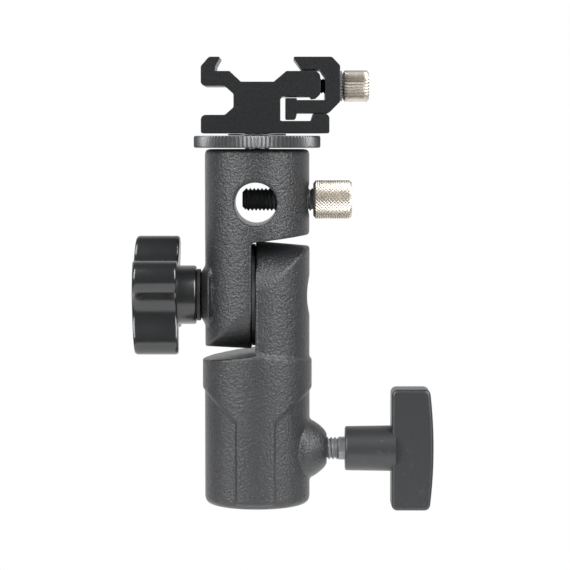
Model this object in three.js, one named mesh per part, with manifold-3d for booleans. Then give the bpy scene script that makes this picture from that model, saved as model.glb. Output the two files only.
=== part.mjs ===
// Umbrella swivel bracket for a lighting stand: a stand socket with a T-knob, a tilting head with an
// umbrella hole and its thumbscrew, and a clamping shoe on a locking disc.
// Millimetres. The origin is the centre of the stand socket's mouth, +Z runs up the bracket, +X points
// to the stand knob, and -Y is the front.
import * as THREE from "three";
import { mergeVertices } from "three/addons/utils/BufferGeometryUtils.js";
import Module from "manifold-3d";

const wasm = await Module();
wasm.setup();

// ---------- driving dimensions ----------

const CASTING_FACETS = 64; // flats round a casting
const SMALL_FACETS = 28; // flats round a screw, a washer or a head
const ARC_STEPS = 5; // straight steps in a rounded corner of a profile

// Threads, as the major radius of the male part
const M6_R = 3;
const M4_R = 2;
const QUARTER_INCH_R = 3.175;
const THREAD_CLEARANCE = 0.15; // radial, between a plain-sided screw and its plain-sided hole
const SEAT_GAP = 0.1; // between two faces that touch when clamped
const HEX_M6_FLATS = 10; // across flats of an M6 nut or bolt head
const HEX_CLEARANCE = 0.15;

// Stand socket, for a 16 mm stand spigot
const SOCKET_R = 13.6;
const SPIGOT_BORE_R = 8.4;
const SPIGOT_DEPTH = 33;
const SOCKET_MOUTH_ROUNDING = 1.8;
const SPIGOT_LEAD_IN = 0.6; // chamfer at the bore's mouth
const SPIGOT_DRILL_POINT = 1.5; // height of the cone that the bore ends in
const COLLAR_R = 14.15; // raised band under the shoulder, which runs down the front and the back
const COLLAR_BOTTOM_Z = 30.1;
const COLLAR_TAPER_Z = 22.6; // where the band has narrowed to the strip
const STRIP_LEFT_X = -5.2;
const STRIP_RIGHT_X = 4.5;
const STRIP_END_Z = 1.4;
const SHOULDER_EDGE_Z = 37.8; // shoulder at the outer edge, under the upper half
const SHOULDER_SLOPE = 0.135; // rise per millimetre towards the middle

// Tilt joint: two half-round lugs side by side, each rounded about the tilt axis
const TILT_Z = 54.3;
const LOWER_FACE_X = -0.35;
const UPPER_FACE_X = -1.35;
const LUG_ROOT_R = 13.95; // radius of the rounded end next to the joint face
const LOWER_LUG_TIP_R = 12.75; // the same at the outer side
const UPPER_LUG_TIP_R = 13.25;
const HEAD_SHOULDER_Z = 68.35; // underside of the head over the lower lug, at the joint face
const HEAD_SHOULDER_SLOPE = 0.125;
const FRICTION_DISC_R = 13.2;
const FRICTION_DISC_THICKNESS = 0.8;
const SPOT_FACE_X = 12.75; // recess round the bolt's end in the lower lug
const SPOT_FACE_R = 3.3;
const SPOT_RIM_X = 14.2;
const SPOT_RIM_R = 6.1;
const NUT_X = 0;
const NUT_LENGTH = 5;
const BOSS_FACE_X = -14.45; // flat that the tilt knob's washer bears on
const BOSS_FACE_R = 6;
const BOSS_ROOT_X = -12.3;
const BOSS_ROOT_R = 9.6;

// Head of the upper casting
const HEAD_R = 13.5;
const HEAD_TOP_Z = 92;
const HEAD_TOP_ROUNDING = 1.2;
const UMBRELLA_HOLE_R = 5.5;
const UMBRELLA_HOLE_X = -0.3;
const UMBRELLA_HOLE_Z = 78.05;
const UMBRELLA_SCREW_Z = 79;

// Tilt knob: a star of four lobes on a short hub
const KNOB_OUTER_X = -32.2;
const KNOB_LOBE_END_X = -20.5;
const KNOB_HUB_END_X = -15.7;
const KNOB_HUB_R = 7.6;
const KNOB_REACH = 16.2; // from the axis to a lobe's tip
const LOBE_R = 4.4;
const LOBES = 4;
const FIRST_LOBE_DEG = 25; // from the front, -Y, turning up
const SCALLOP_CENTRE = 15; // distance from the axis to the centre of a hollow between two lobes
const KNOB_EDGE_ROUNDING = 1;
const WASHER_OUTER_X = -15.6;
const WASHER_R = 6.7;
const BOLT_HEAD_X = -29;
const BOLT_HEAD_HEIGHT = 4;
const BOLT_TIP_X = 12.2;

// Stand lock: a boss, a screw and a T-knob
const STAND_SCREW_Z = 14.2;
const STAND_BOSS_X = 18.1;
const PAD_FACE_X = 8.5;
const PAD_THICKNESS = 1.2;
const PAD_R = 2.9;
const PAD_PIN_R = 1;
const PAD_PIN_LENGTH = 1.8;
const STAND_HUB_X = 22.8;
const STAND_HUB_END_X = 35.2;
const STAND_HUB_R = 5.75;
const STAND_HUB_END_R = 5.95;
const T_BAR_INNER_X = 34.8;
const T_BAR_OUTER_X = 45.7;
const T_BAR_HALF_LENGTH = 15.8;
const T_BAR_THICKNESS = 9;
const T_BAR_BOW = 1; // how far its outer edge is domed
const T_BAR_CORNER_R = 1.4;
const STAND_HEAD_X = 30; // inner face of the screw's hexagon, moulded into the knob
const STAND_HEAD_HEIGHT = 3.6;

// Umbrella thumbscrew
const UMBRELLA_TIP_X = -3.8;
const UMBRELLA_TIP_CHAMFER = 1;
const UMBRELLA_HEAD_X = 14.5;
const UMBRELLA_HEAD_LENGTH = 9.9;
const UMBRELLA_HEAD_R = 5;
const HEAD_EDGE_CHAMFER = 0.5;
const HEAD_SOCKET_DEPTH = 7; // how far a screw is pressed into its head

// Locking disc and shoe
const STUD_BOTTOM_Z = 84.8;
const STUD_TOP_Z = 103.4;
const DISC_BOTTOM_Z = 92.3;
const DISC_TOP_Z = 95.4;
const DISC_R = 16.35;
const DISC_EDGE_CHAMFER = 0.4;
const SHOE_WASHER_R = 7.5;
const SHOE_DEPTH = 18; // front to back
const SHOE_BOTTOM_Z = 96;
const BLOCK_RIGHT_X = 16.2; // face that the jaw closes on
const JAW_SCREW_Z = 108.2;
const JAW_WALL_X = 17.45;
const JAW_RIGHT_X = 21.2;
const JAW_SCREW_TIP_X = 7.5;
const JAW_WASHER_R = 3.85;
const JAW_WASHER_THICKNESS = 0.6;
const JAW_HEAD_X = 22;
const JAW_HEAD_LENGTH = 6.75;
const JAW_HEAD_R = 4;
const JAW_HEAD_SOCKET_DEPTH = 5;

// ---------- finishes ----------

const finish = (color, roughness, metalness) =>
  new THREE.MeshStandardMaterial({ color, roughness, metalness });

const POWDER_COAT = finish("#4b4d50", 0.55, 0.2);
const ANODISED = finish("#2b2c2e", 0.5, 0.4);
const NICKEL = finish("#c9c5bd", 0.25, 1);
const BLACK_OXIDE = finish("#232324", 0.4, 0.8);
const ZINC_STEEL = finish("#9a9c9e", 0.35, 1);
const BRASS = finish("#b08d4c", 0.35, 1);
const GLOSS_PLASTIC = finish("#1d1e20", 0.3, 0);
const SATIN_PLASTIC = finish("#37383a", 0.5, 0);
const BLACK_NYLON = finish("#161617", 0.6, 0);

// ---------- shapes ----------

const X_AXIS = new THREE.Vector3(1, 0, 0);
const Y_AXIS = new THREE.Vector3(0, 1, 0);
const Z_AXIS = new THREE.Vector3(0, 0, 1);

// A closed geometry as a manifold-3d solid
function solidOf(geometry) {
  const bare = geometry.clone();
  bare.deleteAttribute("normal");
  bare.deleteAttribute("uv");
  const merged = mergeVertices(bare, 1e-4);
  const mesh = new wasm.Mesh({
    numProp: 3,
    vertProperties: merged.attributes.position.array,
    triVerts: new Uint32Array(merged.index.array),
  });
  return new wasm.Manifold(mesh);
}

function geometryOf(solid) {
  const { vertProperties, triVerts } = solid.getMesh();
  const geometry = new THREE.BufferGeometry();
  geometry.setAttribute("position", new THREE.BufferAttribute(vertProperties, 3));
  geometry.setIndex(new THREE.BufferAttribute(triVerts, 1));
  geometry.computeVertexNormals();
  return geometry;
}

// A profile of [radius, height] points, turned about the vertical axis
function turnedZ(profile, facets = SMALL_FACETS) {
  const points = profile.map(([radius, height]) => new THREE.Vector2(radius, height));
  return solidOf(new THREE.LatheGeometry(points, facets).rotateX(Math.PI / 2));
}

// A profile of [radius, x] points, turned about a line along X at the given height
function turnedX(profile, z, facets = SMALL_FACETS) {
  const points = profile.map(([radius, x]) => new THREE.Vector2(radius, x));
  const geometry = new THREE.LatheGeometry(points, facets);
  return solidOf(geometry.rotateZ(-Math.PI / 2).translate(0, 0, z));
}

function rodZ(radius, from, to, facets) {
  return turnedZ([[0, from], [radius, from], [radius, to], [0, to]], facets);
}

function rodX(radius, from, to, z, facets) {
  return turnedX([[0, from], [radius, from], [radius, to], [0, to]], z, facets);
}

function rodY(radius, from, to, x, z, facets = SMALL_FACETS) {
  const geometry = new THREE.CylinderGeometry(radius, radius, to - from, facets);
  return solidOf(geometry.translate(x, (from + to) / 2, z));
}

function shapeOf(points) {
  return new THREE.Shape(points.map(([u, v]) => new THREE.Vector2(u, v)));
}

// An outline of [x, z] points, as thick as from front to back
function prismY(points, from, to) {
  const geometry = new THREE.ExtrudeGeometry(shapeOf(points), {
    depth: to - from,
    bevelEnabled: false,
  });
  return solidOf(geometry.rotateX(Math.PI / 2).translate(0, to, 0));
}

// A shape drawn in Y and Z about a line along X, with bevelled edges where a bevel is given
function prismX(shape, from, to, z, bevel = 0) {
  const geometry = new THREE.ExtrudeGeometry(shape, {
    depth: to - from - 2 * bevel,
    bevelEnabled: bevel > 0,
    bevelThickness: bevel,
    bevelSize: bevel,
    bevelOffset: -bevel,
    bevelSegments: 2,
    curveSegments: 8,
  });
  const turn = new THREE.Matrix4().makeBasis(Y_AXIS, Z_AXIS, X_AXIS);
  return solidOf(geometry.applyMatrix4(turn).translate(from + bevel, 0, z));
}

function hexagon(acrossFlats) {
  const corner = acrossFlats / Math.sqrt(3);
  return shapeOf(
    Array.from({ length: 6 }, (_, i) => {
      const angle = (i * Math.PI) / 3;
      return [corner * Math.cos(angle), corner * Math.sin(angle)];
    }),
  );
}

// Points of a rounded corner: an arc about a centre, in degrees
function arc(centreU, centreV, radius, fromDeg, toDeg, steps = ARC_STEPS) {
  return Array.from({ length: steps + 1 }, (_, i) => {
    const angle = THREE.MathUtils.degToRad(fromDeg + ((toDeg - fromDeg) * i) / steps);
    return [centreU + radius * Math.cos(angle), centreV + radius * Math.sin(angle)];
  });
}

// A ring with a plain hole along X
function ringX(outer, inner, from, to, z) {
  const profile = [[inner, from], [outer, from], [outer, to], [inner, to], [inner, from]];
  return turnedX(profile, z);
}

function ringZ(outer, inner, from, to, facets) {
  const profile = [[inner, from], [outer, from], [outer, to], [inner, to], [inner, from]];
  return turnedZ(profile, facets);
}

function part(name, solid, material) {
  const mesh = new THREE.Mesh(geometryOf(solid), material);
  mesh.name = name;
  return mesh;
}

// ---------- lower casting ----------

const WIDE = 20; // further out than any part of a casting

// Height of the sloping shoulder at a place across the casting
const shoulderZ = (x) => SHOULDER_EDGE_Z + SHOULDER_SLOPE * (SOCKET_R - Math.abs(x));

// The socket's outside, and the raised band with its strips down the front and the back
function socketBlank() {
  const round = SOCKET_MOUTH_ROUNDING;
  const core = turnedZ(
    [
      [0, 0],
      ...arc(SOCKET_R - round, round, round, -90, 0),
      [SOCKET_R, shoulderZ(0)],
      [0, shoulderZ(0)],
    ],
    CASTING_FACETS,
  );
  const band = prismY(
    [
      [STRIP_LEFT_X, STRIP_END_Z],
      [STRIP_RIGHT_X, STRIP_END_Z],
      [STRIP_RIGHT_X, COLLAR_TAPER_Z],
      [SOCKET_R, COLLAR_BOTTOM_Z],
      [WIDE, COLLAR_BOTTOM_Z],
      [WIDE, shoulderZ(0)],
      [-WIDE, shoulderZ(0)],
      [-WIDE, COLLAR_BOTTOM_Z],
      [-SOCKET_R, COLLAR_BOTTOM_Z],
      [STRIP_LEFT_X, COLLAR_TAPER_Z],
    ],
    -WIDE,
    WIDE,
  );
  const skin = rodZ(COLLAR_R, STRIP_END_Z, shoulderZ(0), CASTING_FACETS).intersect(band);
  const roof = prismY(
    [
      [-WIDE, 0],
      [WIDE, 0],
      [WIDE, shoulderZ(WIDE)],
      [0, shoulderZ(0)],
      [-WIDE, shoulderZ(WIDE)],
    ],
    -WIDE,
    WIDE,
  );
  return core.add(skin).intersect(roof);
}

// A half-round lug: a slice of a vertical bar whose end is a cone about the tilt axis
function lug({ barR, faceX, side, tipR, rootZ }) {
  const outerX = side * WIDE;
  const bar = rodZ(barR, Math.min(rootZ, TILT_Z - WIDE), Math.max(rootZ, TILT_Z + WIDE), CASTING_FACETS);
  const taper = (LUG_ROOT_R - tipR) / barR;
  const endR = LUG_ROOT_R - taper * (WIDE - Math.abs(faceX));
  const cone = [
    [0, faceX],
    [LUG_ROOT_R, faceX],
    [endR, outerX],
    [0, outerX],
  ];
  const end = turnedX(side > 0 ? cone : cone.reverse(), TILT_Z, CASTING_FACETS);
  const shank = prismY(
    [
      [Math.min(faceX, outerX), Math.min(rootZ, TILT_Z)],
      [Math.max(faceX, outerX), Math.min(rootZ, TILT_Z)],
      [Math.max(faceX, outerX), Math.max(rootZ, TILT_Z)],
      [Math.min(faceX, outerX), Math.max(rootZ, TILT_Z)],
    ],
    -WIDE,
    WIDE,
  );
  return end.add(shank).intersect(bar);
}

// The boss that the stand screw is threaded through, domed: [radius, x]
const STAND_BOSS_DOME = [
  [0, 9.4],
  [8.2, 9.4],
  [8.2, 12.4],
  [7.4, 13.8],
  [6.9, 14.9],
  [6, 16.2],
  [4.9, 17.3],
  [3.9, STAND_BOSS_X],
  [0, STAND_BOSS_X],
];

function lowerCasting() {
  const lowerLug = lug({
    barR: SOCKET_R,
    faceX: LOWER_FACE_X,
    side: 1,
    tipR: LOWER_LUG_TIP_R,
    rootZ: SPIGOT_DEPTH + 1,
  });
  const bore = turnedZ(
    [
      [0, -1],
      [SPIGOT_BORE_R + SPIGOT_LEAD_IN + 1, -1],
      [SPIGOT_BORE_R, SPIGOT_LEAD_IN],
      [SPIGOT_BORE_R, SPIGOT_DEPTH],
      [0, SPIGOT_DEPTH + SPIGOT_DRILL_POINT],
    ],
    CASTING_FACETS / 2,
  );
  const spotFace = turnedX(
    [[0, SPOT_FACE_X], [SPOT_FACE_R, SPOT_FACE_X], [SPOT_RIM_R, SPOT_RIM_X], [0, SPOT_RIM_X]],
    TILT_Z,
  );
  const nutPocket = prismX(
    hexagon(HEX_M6_FLATS + 2 * HEX_CLEARANCE),
    LOWER_FACE_X - 1,
    NUT_X + NUT_LENGTH + HEX_CLEARANCE,
    TILT_Z,
  );
  const boltHole = rodX(M6_R + THREAD_CLEARANCE, LOWER_FACE_X - 1, SPOT_RIM_X, TILT_Z);
  const screwHole = rodX(M6_R + THREAD_CLEARANCE, 0, STAND_BOSS_X + 1, STAND_SCREW_Z);
  return socketBlank()
    .add(lowerLug)
    .add(turnedX(STAND_BOSS_DOME, STAND_SCREW_Z))
    .subtract(bore)
    .subtract(spotFace)
    .subtract(nutPocket)
    .subtract(boltHole)
    .subtract(screwHole);
}

// ---------- upper casting ----------

function upperCasting() {
  const round = HEAD_TOP_ROUNDING;
  const head = turnedZ(
    [
      [0, TILT_Z],
      [HEAD_R, TILT_Z],
      ...arc(HEAD_R - round, HEAD_TOP_Z - round, round, 0, 90),
      [0, HEAD_TOP_Z],
    ],
    CASTING_FACETS,
  );
  const aboveShoulder = prismY(
    [
      [-WIDE, HEAD_SHOULDER_Z],
      [LOWER_FACE_X, HEAD_SHOULDER_Z],
      [WIDE, HEAD_SHOULDER_Z + HEAD_SHOULDER_SLOPE * WIDE],
      [WIDE, HEAD_TOP_Z + 1],
      [-WIDE, HEAD_TOP_Z + 1],
    ],
    -WIDE,
    WIDE,
  );
  const upperLug = lug({
    barR: HEAD_R,
    faceX: UPPER_FACE_X,
    side: -1,
    tipR: UPPER_LUG_TIP_R,
    rootZ: HEAD_SHOULDER_Z + 1,
  });
  const boss = turnedX(
    [[0, BOSS_FACE_X], [BOSS_FACE_R, BOSS_FACE_X], [BOSS_ROOT_R, BOSS_ROOT_X], [0, BOSS_ROOT_X + 3]],
    TILT_Z,
  );
  const boltHole = rodX(M6_R + 2 * THREAD_CLEARANCE, BOSS_FACE_X - 1, UPPER_FACE_X + 1, TILT_Z);
  const umbrellaHole = rodY(
    UMBRELLA_HOLE_R, -WIDE, WIDE, UMBRELLA_HOLE_X, UMBRELLA_HOLE_Z, CASTING_FACETS / 2,
  );
  const thumbscrewHole = rodX(M6_R + THREAD_CLEARANCE, 0, HEAD_R + 1, UMBRELLA_SCREW_Z);
  const studHole = rodZ(
    QUARTER_INCH_R + THREAD_CLEARANCE, STUD_BOTTOM_Z - SEAT_GAP, HEAD_TOP_Z + 1, SMALL_FACETS,
  );
  return head
    .intersect(aboveShoulder)
    .add(upperLug)
    .add(boss)
    .subtract(boltHole)
    .subtract(umbrellaHole)
    .subtract(thumbscrewHole)
    .subtract(studHole);
}

// ---------- tilt clamp ----------

function frictionDisc() {
  const middle = (LOWER_FACE_X + UPPER_FACE_X) / 2;
  const half = FRICTION_DISC_THICKNESS / 2;
  return ringX(FRICTION_DISC_R, M6_R + 2 * THREAD_CLEARANCE, middle - half, middle + half, TILT_Z);
}

function tiltNut() {
  const body = prismX(hexagon(HEX_M6_FLATS), NUT_X, NUT_X + NUT_LENGTH, TILT_Z);
  const bore = rodX(M6_R + THREAD_CLEARANCE, NUT_X - 1, NUT_X + NUT_LENGTH + 1, TILT_Z);
  return body.subtract(bore);
}

// The star's outline: round lobes joined by hollows that meet them tangentially
function starOutline() {
  const outline = new THREE.Shape();
  const lobeCentre = KNOB_REACH - LOBE_R;
  const halfStep = Math.PI / LOBES;
  const apart = Math.hypot(
    SCALLOP_CENTRE - lobeCentre * Math.cos(halfStep),
    lobeCentre * Math.sin(halfStep),
  );
  const scallopR = apart - LOBE_R;
  const first = -Math.PI - THREE.MathUtils.degToRad(FIRST_LOBE_DEG);
  for (let i = 0; i < LOBES; i += 1) {
    const lobe = first + 2 * i * halfStep;
    const hollow = lobe + halfStep;
    const lobeU = lobeCentre * Math.cos(lobe);
    const lobeV = lobeCentre * Math.sin(lobe);
    const hollowU = SCALLOP_CENTRE * Math.cos(hollow);
    const hollowV = SCALLOP_CENTRE * Math.sin(hollow);
    const toHollow = Math.atan2(hollowV - lobeV, hollowU - lobeU);
    const fromHollow = toHollow + Math.PI;
    const mirrored = 2 * lobe - toHollow;
    outline.absarc(lobeU, lobeV, LOBE_R, mirrored, toHollow, false);
    outline.absarc(hollowU, hollowV, scallopR, fromHollow, 2 * hollow - fromHollow, true);
  }
  return outline;
}

function tiltKnob() {
  const star = prismX(
    starOutline(), KNOB_OUTER_X, KNOB_LOBE_END_X, TILT_Z, KNOB_EDGE_ROUNDING,
  );
  const hub = rodX(KNOB_HUB_R, KNOB_OUTER_X + 2, KNOB_HUB_END_X, TILT_Z);
  const boltHole = rodX(M6_R + THREAD_CLEARANCE, BOLT_HEAD_X, 0, TILT_Z);
  const headPocket = prismX(
    hexagon(HEX_M6_FLATS + 2 * HEX_CLEARANCE),
    KNOB_OUTER_X - 1,
    BOLT_HEAD_X + BOLT_HEAD_HEIGHT + HEX_CLEARANCE,
    TILT_Z,
  );
  return star.add(hub).subtract(boltHole).subtract(headPocket);
}

function tiltBolt() {
  const head = prismX(hexagon(HEX_M6_FLATS), BOLT_HEAD_X, BOLT_HEAD_X + BOLT_HEAD_HEIGHT, TILT_Z);
  return head.add(rodX(M6_R, BOLT_HEAD_X + 1, BOLT_TIP_X, TILT_Z));
}

function tiltWasher() {
  return ringX(WASHER_R, M6_R + THREAD_CLEARANCE, WASHER_OUTER_X, BOSS_FACE_X - SEAT_GAP, TILT_Z);
}

// ---------- stand clamp ----------

// A small brass foot that the screw pushes against the stand's spigot
function pressurePad() {
  return turnedX(
    [
      [0, PAD_FACE_X],
      [PAD_R, PAD_FACE_X],
      [PAD_R, PAD_FACE_X + PAD_THICKNESS],
      [PAD_PIN_R, PAD_FACE_X + PAD_THICKNESS],
      [PAD_PIN_R, PAD_FACE_X + PAD_THICKNESS + PAD_PIN_LENGTH],
      [0, PAD_FACE_X + PAD_THICKNESS + PAD_PIN_LENGTH],
    ],
    STAND_SCREW_Z,
  );
}

function standScrew() {
  const tip = PAD_FACE_X + PAD_THICKNESS + SEAT_GAP;
  const pinHole = PAD_PIN_R + THREAD_CLEARANCE;
  const pinEnd = tip + PAD_PIN_LENGTH + SEAT_GAP;
  const headEnd = STAND_HEAD_X + STAND_HEAD_HEIGHT;
  const shank = turnedX(
    [
      [0, pinEnd],
      [pinHole, pinEnd],
      [pinHole, tip],
      [M6_R, tip],
      [M6_R, headEnd - 1],
      [0, headEnd - 1],
    ],
    STAND_SCREW_Z,
  );
  return shank.add(prismX(hexagon(HEX_M6_FLATS - 1), STAND_HEAD_X, headEnd, STAND_SCREW_Z));
}

// The cross bar, drawn in X and Z, with a domed outer edge and rounded corners
function barOutline() {
  const inner = T_BAR_INNER_X;
  const outer = T_BAR_OUTER_X - T_BAR_BOW;
  const end = T_BAR_HALF_LENGTH;
  const corner = T_BAR_CORNER_R;
  const bowR = (end * end + T_BAR_BOW * T_BAR_BOW) / (2 * T_BAR_BOW);
  const bowHalf = THREE.MathUtils.radToDeg(Math.asin((end - corner) / bowR));
  return [
    ...arc(inner + corner, -end + corner, corner, 180, 270, 3),
    ...arc(outer - corner, -end + corner, corner, 270, 350, 3),
    ...arc(T_BAR_OUTER_X - bowR, 0, bowR, -bowHalf, bowHalf, 8),
    ...arc(outer - corner, end - corner, corner, 10, 90, 3),
    ...arc(inner + corner, end - corner, corner, 90, 180, 3),
  ].map(([x, z]) => [x, z + STAND_SCREW_Z]);
}

function standKnob() {
  const hub = turnedX(
    [
      [0, STAND_HUB_X],
      [STAND_HUB_R - HEAD_EDGE_CHAMFER, STAND_HUB_X],
      [STAND_HUB_R, STAND_HUB_X + HEAD_EDGE_CHAMFER],
      [STAND_HUB_END_R, STAND_HUB_END_X],
      [0, STAND_HUB_END_X + 1],
    ],
    STAND_SCREW_Z,
  );
  const bar = prismY(barOutline(), -T_BAR_THICKNESS / 2, T_BAR_THICKNESS / 2);
  const screwHole = rodX(M6_R + THREAD_CLEARANCE, STAND_HUB_X - 1, STAND_HEAD_X, STAND_SCREW_Z);
  const headPocket = prismX(
    hexagon(HEX_M6_FLATS - 1 + 2 * HEX_CLEARANCE),
    STAND_HEAD_X - HEX_CLEARANCE,
    STAND_HEAD_X + STAND_HEAD_HEIGHT + HEX_CLEARANCE,
    STAND_SCREW_Z,
  );
  return hub.add(bar).subtract(screwHole).subtract(headPocket);
}

// ---------- thumbscrews ----------

function umbrellaStud() {
  const pressedEnd = UMBRELLA_HEAD_X + HEAD_SOCKET_DEPTH - SEAT_GAP;
  return turnedX(
    [
      [0, UMBRELLA_TIP_X],
      [M6_R - UMBRELLA_TIP_CHAMFER, UMBRELLA_TIP_X],
      [M6_R, UMBRELLA_TIP_X + UMBRELLA_TIP_CHAMFER],
      [M6_R, pressedEnd],
      [0, pressedEnd],
    ],
    UMBRELLA_SCREW_Z,
  );
}

// A round head with chamfered ends and a blind hole for its screw
function knurledHead(radius, from, length, holeR, holeDepth, z) {
  const to = from + length;
  const chamfer = HEAD_EDGE_CHAMFER;
  const profile = [
    [0, from + holeDepth],
    [holeR, from + holeDepth],
    [holeR, from],
    [radius - chamfer, from],
    [radius, from + chamfer],
    [radius, to - chamfer],
    [radius - chamfer, to],
    [0, to],
  ];
  return turnedX(profile, z, SMALL_FACETS);
}

function jawScrew() {
  const pressedEnd = JAW_HEAD_X + JAW_HEAD_SOCKET_DEPTH - SEAT_GAP;
  return rodX(M4_R, JAW_SCREW_TIP_X, pressedEnd, JAW_SCREW_Z);
}

function jawWasher() {
  const from = JAW_RIGHT_X + SEAT_GAP;
  return ringX(
    JAW_WASHER_R, M4_R + THREAD_CLEARANCE, from, from + JAW_WASHER_THICKNESS, JAW_SCREW_Z,
  );
}

// ---------- locking disc and shoe ----------

function lockDisc() {
  const chamfer = DISC_EDGE_CHAMFER;
  const hole = QUARTER_INCH_R + THREAD_CLEARANCE;
  return turnedZ(
    [
      [hole, DISC_BOTTOM_Z],
      [DISC_R - chamfer, DISC_BOTTOM_Z],
      [DISC_R, DISC_BOTTOM_Z + chamfer],
      [DISC_R, DISC_TOP_Z - chamfer],
      [DISC_R - chamfer, DISC_TOP_Z],
      [hole, DISC_TOP_Z],
      [hole, DISC_BOTTOM_Z],
    ],
    CASTING_FACETS,
  );
}

function shoeWasher() {
  return ringZ(
    SHOE_WASHER_R,
    QUARTER_INCH_R + THREAD_CLEARANCE,
    DISC_TOP_Z + SEAT_GAP,
    SHOE_BOTTOM_Z - SEAT_GAP,
    SMALL_FACETS,
  );
}

// The shoe's section, [x, z], anticlockwise from the base's bottom left
const SHOE_SECTION = [
  // base, with a lip at its right end
  [-13.9, SHOE_BOTTOM_Z],
  [18.2, SHOE_BOTTOM_Z],
  [18.5, 96.3],
  [18.5, 99.6],
  [17.1, 101],
  [14.35, 101],
  [14.35, 100.2],
  [13.75, 99.15],
  // pocket that the jaw's hook slides in
  [6.3, 99.15],
  [6, 99.45],
  [6, 104.8],
  [6.8, 105.4],
  // right block, which the jaw screw is threaded into
  [13.55, 105.4],
  [13.95, 104.9],
  [15.1, 105],
  [BLOCK_RIGHT_X, 106],
  [BLOCK_RIGHT_X, 110],
  [14.4, 111.8],
  // floor that a flash foot slides on, with a channel under the foot's contacts
  [7.55, 111.8],
  [4.35, 109.1],
  [-4, 109.1],
  [-6.9, 111.8],
  [-10.5, 111.8],
  // fixed hook over the foot's left edge
  [-10.7, 112.4],
  [-10.3, 113.3],
  [-9.2, 114.7],
  [-9.5, 115.4],
  [-12.2, 115.4],
  [-14.2, 113],
  // underside of the left arm, waist and top of the base
  [-14.2, 109.45],
  [-13.05, 108.05],
  [-8.4, 108.05],
  [-5.9, 106],
  [-5.9, 102.55],
  [-8.1, 100.7],
  [-13, 100.7],
  [-14.2, 99.4],
  [-14.2, 96.3],
];

function shoeBody() {
  const block = prismY(SHOE_SECTION, -SHOE_DEPTH / 2, SHOE_DEPTH / 2);
  const studHole = rodZ(
    QUARTER_INCH_R + THREAD_CLEARANCE, SHOE_BOTTOM_Z - 1, STUD_TOP_Z + SEAT_GAP, SMALL_FACETS,
  );
  const screwHole = rodX(
    M4_R + THREAD_CLEARANCE, JAW_SCREW_TIP_X - 1, BLOCK_RIGHT_X + 1, JAW_SCREW_Z,
  );
  return block.subtract(studHole).subtract(screwHole);
}

// The jaw's section, [x, z], anticlockwise from the hook's bottom left
const JAW_SECTION = [
  // hook in the shoe's pocket
  [7.55, 99.55],
  [9.55, 99.55],
  [10.25, 100.25],
  [10.25, 101.15],
  // underside and outer face of the wall
  [18.35, 101.15],
  [JAW_RIGHT_X, 104],
  [JAW_RIGHT_X, 113.2],
  [19.1, 115.4],
  // dovetail over the foot's right edge
  [9.4, 115.4],
  [9.1, 114.95],
  [11.45, 112.2],
  [BLOCK_RIGHT_X, 112.2],
  // inner face of the wall, and top of the arm
  [JAW_WALL_X, 110.3],
  [JAW_WALL_X, 104.45],
  [10.25, 104.45],
  [10.15, 104.95],
  [7.25, 104.95],
  [7.25, 99.85],
];

function shoeJaw() {
  const clamp = prismY(JAW_SECTION, -SHOE_DEPTH / 2, SHOE_DEPTH / 2);
  return clamp.subtract(
    rodX(M4_R + 2 * THREAD_CLEARANCE, JAW_WALL_X - 1, JAW_RIGHT_X + 1, JAW_SCREW_Z),
  );
}

// ---------- the assembly ----------

const bracket = new THREE.Group();

const standEnd = new THREE.Group();
standEnd.add(part("lower_casting", lowerCasting(), POWDER_COAT));
standEnd.add(part("stand_pressure_pad", pressurePad(), BRASS));
standEnd.add(part("stand_screw", standScrew(), BLACK_OXIDE));
standEnd.add(part("stand_knob", standKnob(), SATIN_PLASTIC));
bracket.add(standEnd);

const tiltClamp = new THREE.Group();
tiltClamp.add(part("tilt_nut", tiltNut(), ZINC_STEEL));
tiltClamp.add(part("tilt_friction_disc", frictionDisc(), BLACK_NYLON));
tiltClamp.add(part("tilt_washer", tiltWasher(), BLACK_NYLON));
tiltClamp.add(part("tilt_bolt", tiltBolt(), ZINC_STEEL));
tiltClamp.add(part("tilt_knob", tiltKnob(), GLOSS_PLASTIC));
bracket.add(tiltClamp);

const umbrellaHead = knurledHead(
  UMBRELLA_HEAD_R,
  UMBRELLA_HEAD_X,
  UMBRELLA_HEAD_LENGTH,
  M6_R + THREAD_CLEARANCE,
  HEAD_SOCKET_DEPTH,
  UMBRELLA_SCREW_Z,
);
const tiltingEnd = new THREE.Group();
tiltingEnd.add(part("upper_casting", upperCasting(), POWDER_COAT));
tiltingEnd.add(part("umbrella_stud", umbrellaStud(), BLACK_OXIDE));
tiltingEnd.add(part("umbrella_head", umbrellaHead, NICKEL));
tiltingEnd.add(part("mount_stud", rodZ(QUARTER_INCH_R, STUD_BOTTOM_Z, STUD_TOP_Z), ZINC_STEEL));
tiltingEnd.add(part("lock_disc", lockDisc(), ANODISED));
bracket.add(tiltingEnd);

const jawHead = knurledHead(
  JAW_HEAD_R,
  JAW_HEAD_X,
  JAW_HEAD_LENGTH,
  M4_R + THREAD_CLEARANCE,
  JAW_HEAD_SOCKET_DEPTH,
  JAW_SCREW_Z,
);
const shoe = new THREE.Group();
shoe.add(part("shoe_washer", shoeWasher(), BLACK_OXIDE));
shoe.add(part("shoe_body", shoeBody(), ANODISED));
shoe.add(part("shoe_jaw", shoeJaw(), ANODISED));
shoe.add(part("jaw_screw", jawScrew(), BLACK_OXIDE));
shoe.add(part("jaw_washer", jawWasher(), BLACK_OXIDE));
shoe.add(part("jaw_head", jawHead, NICKEL));
bracket.add(shoe);

export default bracket;
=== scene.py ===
"""Looks of the umbrella swivel bracket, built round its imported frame.

The frame's axes are kept: the stand socket's mouth is at z = 0, +X points to the T-knob and -Y is the
front. Shapes are worked out in millimetres and written into the scene in metres.
"""

import math

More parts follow.
